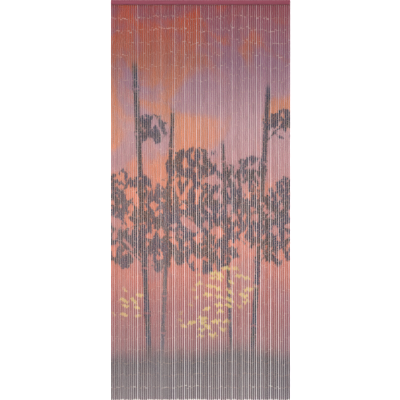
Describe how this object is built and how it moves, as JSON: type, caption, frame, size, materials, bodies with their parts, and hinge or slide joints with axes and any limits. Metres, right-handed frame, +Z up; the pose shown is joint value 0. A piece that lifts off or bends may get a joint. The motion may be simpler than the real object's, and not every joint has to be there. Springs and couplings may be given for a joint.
{
  "type": "bamboo bead door curtain with wooden head batten",
  "caption": "Door curtain of bamboo tubes threaded on strings that hang in one dense row from a painted wooden batten fixed over a doorway.",
  "frame": {"origin": "centre of the batten's back face, where it is fastened over the doorway", "axes": "+Z up, and the strands hang down along -Z; +Y backwards, out of the batten's back face; +X along the batten"},
  "size_m": [0.9, 0.014, 2.011],
  "materials": {
    "batten_wood": "satin paint",
    "bamboo_beads": "matt paint",
    "string": "twisted, matt"
  },
  "bodies": {
    "root": {"batten": "batten_wood", "strands_1": "bamboo_beads", "strands_2": "bamboo_beads", "strands_3": "bamboo_beads", "strands_4": "bamboo_beads", "strands_5": "bamboo_beads", "strands_6": "bamboo_beads", "strands_7": "bamboo_beads"}
  },
  "joints": []
}
